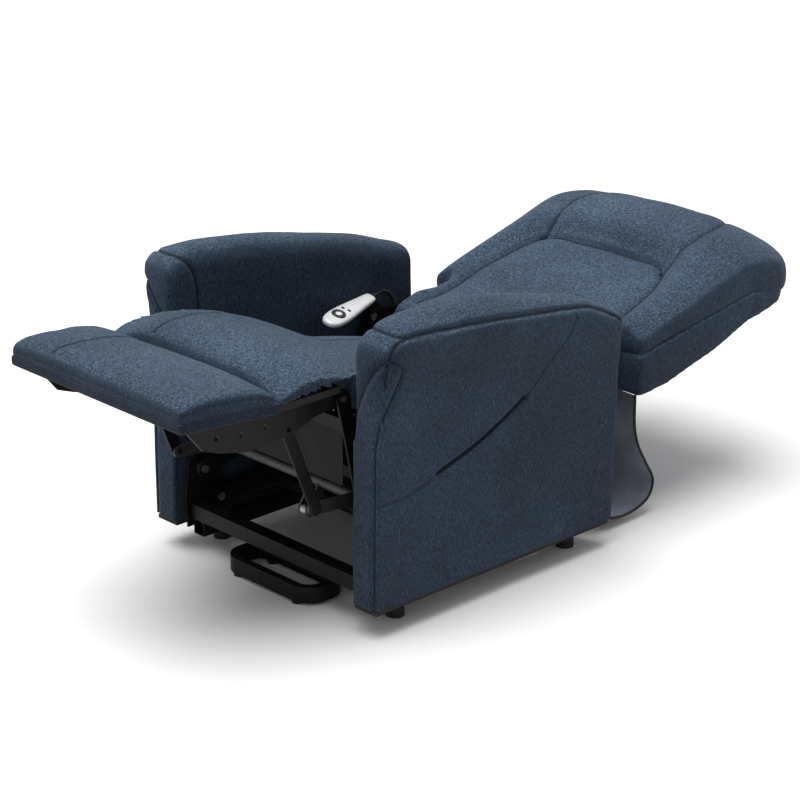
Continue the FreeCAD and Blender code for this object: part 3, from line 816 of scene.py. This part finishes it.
def makeFootPad(settings):
    half = settings["half"]
    pad = paddedLoft("footPad", settings["profile"], [half] * len(settings["profile"]), settings["voxel"])
    relax(pad, settings["rounds"])
    points, normals = pointsOf(pad), normalsOf(pad)
    crown = np.clip(normals[:, 2], 0, 1) * (1 - np.abs(points[:, 0] / half) ** 3.2) * settings["crown"]
    setPoints(pad, points + np.array([0, 0, 1]) * crown[:, None])
    room = np.where(normals[:, 2] < -0.5, 0.05, 0.4 + 0.6 * np.clip(normals[:, 2], 0, 1))
    inflate(pad, 4.0, settings["reach"] * room)
    subdivided(pad)
    lengthwise = np.linspace(-0.373, -0.150, 40)
    seam = layOn(pad, [at(settings["seam"], y, 0.56) for y in lengthwise])
    sew(pad, seam, width=0.008, depth=0.0022, creaseShade=0.85)
    seamHeight = np.interp(lengthwise, *np.array(settings["sideSeam"]).T)
    for side in (-1, 1):
        edge = layOn(pad, [at(side * (half + 0.006), y, z) for y, z in zip(lengthwise, seamHeight)])
        sew(pad, edge, width=0.007, depth=0.0016, creaseShade=0.3)
    front = layOn(pad, [at(x, -0.39, 0.5225) for x in np.linspace(-0.22, 0.22, 50)])
    sew(pad, front, width=0.007, depth=0.0018, creaseShade=0.35)
    ripple(pad, 0.13, 0.0010, 21)
    smoothShaded(finished(pad, "heather_fabric"))
    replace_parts(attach(pad, "legrest"), "foot_pad")


def makeFootBoard(settings):
    halves = [settings["half"]] * len(settings["profile"])
    board = paddedLoft("footBoardCover", settings["profile"], halves, settings["voxel"])
    relax(board, settings["rounds"])
    subdivided(board)
    # its cloth is the darker copy of the heather, painted shade under the pad
    smoothShaded(finished(board, "shaded_board_fabric"))
    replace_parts(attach(board, "legrest"), "foot_board")


makeFootPad(footPad)
makeFootBoard(footBoard)
print("foot rest made")


# calf pad and seat, under one cover

chaise = {"voxel": 0.0055, "rounds": 12, "reach": 0.004, "seam": -0.130,
          "profile": [(-0.154, 0.482, 0.493), (-0.147, 0.482, 0.507), (-0.130, 0.483, 0.517),
                      (-0.098, 0.484, 0.524), (-0.055, 0.484, 0.525), (-0.010, 0.484, 0.519),
                      (0.035, 0.484, 0.509), (0.047, 0.420, 0.505), (0.100, 0.396, 0.483), (0.180, 0.375, 0.448),
                      (0.250, 0.357, 0.414), (0.300, 0.345, 0.397), (0.334, 0.337, 0.390), (0.416, 0.316, 0.370),
                      (0.500, 0.2945, 0.345), (0.512, 0.2915, 0.340)],
          "halves": [(-0.154, 0.246), (-0.02, 0.243), (0.06, 0.247), (0.44, 0.246), (0.47, 0.225)],
          "lowEdge": [(-0.149, 0.478), (-0.125, 0.488), (-0.09, 0.494), (-0.057, 0.497), (-0.016, 0.500),
                      (0.03, 0.502)],
          "seamHeight": [(-0.15, 0.55), (-0.06, 0.58), (0.1, 0.53), (0.3, 0.43), (0.5, 0.37)]}
gathers = {"folds": [(0.0082, 0.0007), (0.0117, 0.0009), (0.0171, 0.0010), (0.0263, 0.0012), (0.041, 0.0012)],
           "lean": 0.6, "seed": 14}


def makeChaise(settings):
    places = [row[0] for row in settings["profile"]]
    halves = np.interp(places, *np.array(settings["halves"]).T).tolist()
    pad = paddedLoft("seatAndCalfPad", settings["profile"], halves, settings["voxel"])
    relax(pad, settings["rounds"])
    points, normals = pointsOf(pad), normalsOf(pad)
    x, y = points[:, 0] / 0.235, points[:, 1] - armFrontY
    up = np.clip(normals[:, 2], 0, 1)
    crown = up * (1 - np.clip(np.abs(x), 0, 1) ** 3) * (0.009 * (1 - step(y, 0.1, 0.3)) + 0.004)
    fall = 0.016 - 0.006 * step(y, -0.15, -0.05) * (1 - step(y, -0.05, 0.05))
    crown -= up * step(np.abs(x), 0.62, 1.02) * fall
    # the cover's lower side edges are drawn up towards the seat
    low = np.interp(y, *np.array(settings["lowEdge"]).T)
    outside = step(np.abs(points[:, 0]), 0.17, 0.226) * (1 - step(y, 0.03, 0.10))
    lift = np.maximum(low - points[:, 2], 0) * outside * 0.9
    setPoints(pad, points + np.array([0, 0, 1]) * (crown + lift)[:, None])
    normals = normalsOf(pad)
    room = np.where(normals[:, 2] > 0.2, 1.0, 0.25)
    inflate(pad, 4.0, settings["reach"] * room)
    subdivided(pad)
    lengthwise = np.linspace(-0.150, 0.49, 90)
    seamHeight = np.interp(lengthwise, *np.array(settings["seamHeight"]).T)
    seam = layOn(pad, [at(settings["seam"], y, z) for y, z in zip(lengthwise, seamHeight)])
    sew(pad, seam, width=0.008, depth=0.0022, creaseShade=0.85)
    gatherSides(pad, gathers)
    ripple(pad, 0.15, 0.0011, 8)
    smoothShaded(finished(pad, "heather_fabric"))
    tuple(at(0, 0.06, 0.45))
    tuple(at(0, -0.03, 0.45))
    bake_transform(pad)
    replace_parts(pad, "calf_pad", "seat_cushion")


def gatherSides(pad, settings):
    # small folds where elastic draws the cover in along its side edges
    points, normals = pointsOf(pad), normalsOf(pad)
    y = points[:, 1] - armFrontY
    dice = np.random.default_rng(settings["seed"])
    fold = np.zeros(len(points))
    for length, size in settings["folds"]:
        lean = dice.uniform(-settings["lean"], settings["lean"])
        fold += size * np.sin((y + lean * points[:, 2]) * 2 * math.pi / length + dice.uniform(0, 6.28))
    near = step(np.abs(points[:, 0]), 0.190, 0.230) * step(y, -0.135, -0.08) * (1 - step(y, 0.06, 0.14))
    low = 1 - step(normals[:, 2], 0.35, 0.95)
    setPoints(pad, points + normals * (fold * near * (0.35 + low))[:, None])


dustCloth = {"half": 0.184, "low": 0.262, "high": 0.369, "place": 0.050, "thickness": 0.0012, "columns": 24,
             "rows": 8}


def hangingCloth(name, points, columns, thickness):
    # rows of points as a cloth with two faces
    across = columns + 1
    starts = [i * across + j for i in range(len(points) // across - 1) for j in range(columns)]
    cloth = newMesh(name, points, [(a, a + 1, a + across + 1, a + across) for a in starts])
    solid = cloth.modifiers.new("thickness", "SOLIDIFY")
    solid.thickness, solid.offset = thickness, 0
    return applyModifiers(cloth)


def makeDustCloth(settings):
    points, columns, rows = [], settings["columns"], settings["rows"]
    for i in range(rows + 1):
        for j in range(columns + 1):
            x = settings["half"] * (2 * j / columns - 1)
            wave = 0.0020 * math.sin(x * 34) + 0.0012 * math.sin(x * 71 + i * 0.6)
            z = settings["low"] + (settings["high"] - settings["low"]) * i / rows
            points.append(at(x, settings["place"] + math.sin(math.pi * i / rows) * wave, z))
    cloth = hangingCloth("dustCloth", points, columns, settings["thickness"])
    finished(smoothShaded(cloth, 60), "lining")
    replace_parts(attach(cloth, "seat"), "dust_cloth")


makeChaise(chaise)
makeDustCloth(dustCloth)
print("seat made")


# backrest

back = {"voxel": 0.0055, "rounds": 16, "reach": 0.004, "cornerMoves": (0.022, 0.040, -0.046),
        "panelSide": [(0.188, 0.60), (0.198, 0.70), (0.201, 0.80), (0.194, 0.875), (0.181, 0.925),
                      (0.165, 0.955)],
        "panelTop": [(0.165, 0.955), (0.140, 0.972), (0.070, 0.978), (0.0, 0.980)],
        "yoke": [(0.165, 0.955), (0.170, 1.0), (0.176, 1.05), (0.172, 1.11), (0.150, 1.17), (0.112, 1.222)],
        "panelMiddle": {"rise": 0.006, "sink": 0.008},
        "sideRoll": {"rise": 0.036, "sink": 0.010, "fall": 0.040}}
outerBack = {"voxel": 0.006, "rounds": 7, "cornerMoves": (0.016, 0.030, -0.024), "presses": 0.006}


def seamLine(pairs, side):
    return smoothLine([(side * x, y, 0) for x, y in pairs])


def moveHeadCorners(obj, moves):
    # the head's corners reach out and hang lower than its middle
    points = pointsOf(obj)
    corner = step(points[:, 1] - armFrontY, 1.07, 1.22) * step(np.abs(points[:, 0]), 0.12, 0.25)
    out, along, up = moves
    setPoints(obj, points + np.stack([np.sign(points[:, 0]) * corner * out, corner * along, corner * up], 1))


def onTopOf(obj, line):
    # the line dropped on to the skin from above
    skin = skinOf(obj)
    found = [skin.ray_cast(at(p[0], p[1], 0.8), Vector((0, 0, -1)))[0] for p in line]
    return [p for p in found if p is not None]


def makeBackCushion(settings):
    pad = voxelRemesh(copyOf("backCushion", "back_cushion"), settings["voxel"])
    relax(pad, settings["rounds"])
    points, normals = pointsOf(pad), normalsOf(pad)
    flat = np.stack([points[:, 0], points[:, 1] - armFrontY, points[:, 0] * 0], 1)
    y = flat[:, 1]
    frameLines = []
    for side in (-1, 1):
        frameLines += [seamLine(settings["panelSide"], side), seamLine(settings["panelTop"], side)]
    panel = np.min([distanceTo(flat, line) for line in frameLines], axis=0)
    yoke = np.min([distanceTo(flat, seamLine(settings["yoke"], side)) for side in (-1, 1)], axis=0)
    sideX, sideY = np.array(settings["panelSide"]).T
    centre = (np.abs(flat[:, 0]) < np.interp(y, sideY, sideX)) & (y < 0.975)
    up = np.clip(normals[:, 2] * 1.3, 0, 1) * step(y, 0.57, 0.66)
    wide = np.abs(flat[:, 0])
    outward = np.clip((wide - 0.205) / 0.085, 0, 1) ** 1.8
    outer, inner = settings["sideRoll"], settings["panelMiddle"]
    roll = step(panel, 0.0, 0.055) * outer["rise"] - outer["sink"] - outer["fall"] * outward
    roll += 0.003 * np.exp(-(flat[:, 0] / 0.12) ** 2) * step(y, 1.02, 1.12)
    middle = step(panel, 0.0, 0.05) * inner["rise"] - inner["sink"]
    dip = np.clip(1 - yoke / 0.035, 0, 1) ** 1.5 * 0.005 * (y > 0.96)
    setPoints(pad, points + np.array([0, 0, 1]) * (up * (np.where(centre, middle, roll) - dip))[:, None])
    relax(pad, 16, 0.35 + 0.65 * step(wide, 0.20, 0.26))
    moveHeadCorners(pad, settings["cornerMoves"])
    normals = normalsOf(pad)
    room = np.where(normals[:, 2] > 0.1, 1.0, np.where(normals[:, 2] < -0.6, 0.05, 0.5))
    inflate(pad, 4.0, settings["reach"] * room)
    subdivided(pad)
    for side in (-1, 1):
        sew(pad, onTopOf(pad, seamLine(settings["panelSide"], side)), width=0.014, depth=0.0065, creaseShade=0.75)
        sew(pad, onTopOf(pad, seamLine(settings["yoke"], side)), width=0.010, depth=0.0034, creaseShade=0.75)
    across = seamLine(settings["panelTop"], -1)[:-1] + seamLine(settings["panelTop"], 1)[::-1]
    sew(pad, onTopOf(pad, across), width=0.014, depth=0.0065, creaseShade=0.75)
    ripple(pad, 0.16, 0.0012, 5)
    smoothShaded(finished(pad, "heather_fabric"))
    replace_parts(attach(pad, "backrest"), "back_cushion")


def makeBackShell(settings):
    shell = copyOf("outsideBack", "back_shell", "back_stiles", "back_rails")
    voxelRemesh(shell, settings["voxel"])
    relax(shell, settings["rounds"])
    # its upper face presses into the cushion, and its head corners follow the cushion's
    press = np.clip(normalsOf(shell)[:, 2], 0, 1) * settings["presses"]
    moveHeadCorners(shell, settings["cornerMoves"])
    setPoints(shell, pointsOf(shell) + np.array([0, 0, 1]) * press[:, None])
    subdivided(shell)
    ripple(shell, 0.2, 0.0008, 12)
    smoothShaded(finished(shell, "heather_fabric"))
    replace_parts(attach(shell, "backrest"), "back_shell", "back_stiles", "back_rails")


makeBackCushion(back)
makeBackShell(outerBack)
print("backrest made")


# rear flap

flap = {"line": [(0.662, 0.066), (0.690, 0.036), (0.740, 0.022), (0.790, 0.024), (0.824, 0.040),
                 (0.834, 0.074), (0.812, 0.118), (0.788, 0.165), (0.776, 0.210), (0.773, 0.276)],
        "half": 0.262, "columns": 40, "thickness": 0.0016, "binding": 0.0028}


def makeFlap(settings):
    line = smoothLine([at(0, y, z) for y, z in settings["line"]], 7)
    length = sum((b - a).length for a, b in zip(line, line[1:]))
    columns, points = settings["columns"], []
    for i, p in enumerate(line):
        share = i / (len(line) - 1)
        for j in range(columns + 1):
            x = settings["half"] * (2 * j / columns - 1)
            wave = 0.0035 * math.sin(x * 19 + share * 5) + 0.002 * math.sin(x * 47 - share * 9)
            slack = math.sin(math.pi * share) * wave
            points.append((x, p.y + slack, p.z + slack * 0.4))
    cloth = subdivided(hangingCloth("rearFlap", points, columns, settings["thickness"]))
    finished(smoothShaded(cloth, 60), "grey_leather")
    start, end = tuple(at(0, 0.70, 0.05)), tuple(at(0, 0.775, 0.27))
    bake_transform(cloth)
    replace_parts(cloth, "rear_flap")
    for first, name in ((0, "flapBindingRight"), (columns, "flapBindingLeft")):
        rim = points[first::columns + 1]
        binding = asMesh(name, newTube(name + "Tube", rim, settings["binding"]))
        finished(smoothShaded(binding), "lining")
        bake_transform(binding)


makeFlap(flap)
print("rear flap made")


# steel, wood and plastic parts that keep their shape

partFinishes = {
    "black_steel": ["base_runners", "front_crossbar", "rear_crossbar", "stabiliser_loop", "base_brackets",
                    "left_lift_arm", "right_lift_arm", "lift_cross_tube", "lift_links", "side_plates",
                    "rear_cross_rail", "seat_plates", "seat_front_rail", "seat_rear_rail", "motor_rails",
                    "back_brackets", "back_lever_tube", "legrest_brackets", "drive_links"],
    "zinc_steel": ["lift_pivot_pins", "body_pins", "arm_bolts", "seat_pins", "lift_rod", "recline_rod",
                   "legrest_rod"],
    "spring_steel": ["seat_springs"],
    "dull_steel": ["crank_tube"],
    "lining": ["calf_board"],
    "foot_rubber": ["feet"],
    "motor_plastic": ["power_box", "lift_motor", "recline_motor", "legrest_motor"],
}
for finish, names in partFinishes.items():
    for name in names:
        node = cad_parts[name]
        node.data.materials.clear()
        node.data.materials.append(finishes[finish])
print("parts finished")


# floor and light

studio = {"floor": 30.0, "floorColour": (0.60, 0.60, 0.603), "sky": 0.76,
          "sun": {"from": (-0.06, -0.24, 1.0), "spread": 50, "strength": 4.8}}


def makeFloor(settings):
    half = settings["floor"] / 2
    corners = [(-half, -half, 0), (half, -half, 0), (half, half, 0), (-half, half, 0)]
    floor = newMesh("floor", corners, [(0, 1, 2, 3)])
    paint = Finish("paleFloor", Specular_IOR_Level=0.1)
    speck = paint.grain(3.0, 3.0)
    shade = settings["floorColour"]
    tone = paint.mixed(speck, (*shade, 1), tuple(c * 0.99 for c in shade) + (1,))
    floor.data.materials.append(paint.feed(Base_Color=tone, Roughness=0.8 + speck * 0.1))


def softSun(settings):
    light = bpy.data.lights.new("softSun", "SUN")
    light.angle, light.energy = math.radians(settings["spread"]), settings["strength"]
    lamp = newObject("softSun", light)
    lamp.rotation_mode = "QUATERNION"
    lamp.rotation_quaternion = (-Vector(settings["from"])).to_track_quat("-Z", "Y")


def whiteSky(strength):
    world = bpy.data.worlds.new("studio")
    world.use_nodes = True
    background = world.node_tree.nodes["Background"]
    background.inputs["Color"].default_value = (1, 1, 1, 1)
    background.inputs["Strength"].default_value = strength
    scene.world = world


makeFloor(studio)
softSun(studio["sun"])
whiteSky(studio["sky"])
scene.view_settings.view_transform = "Standard"
print("studio lit")
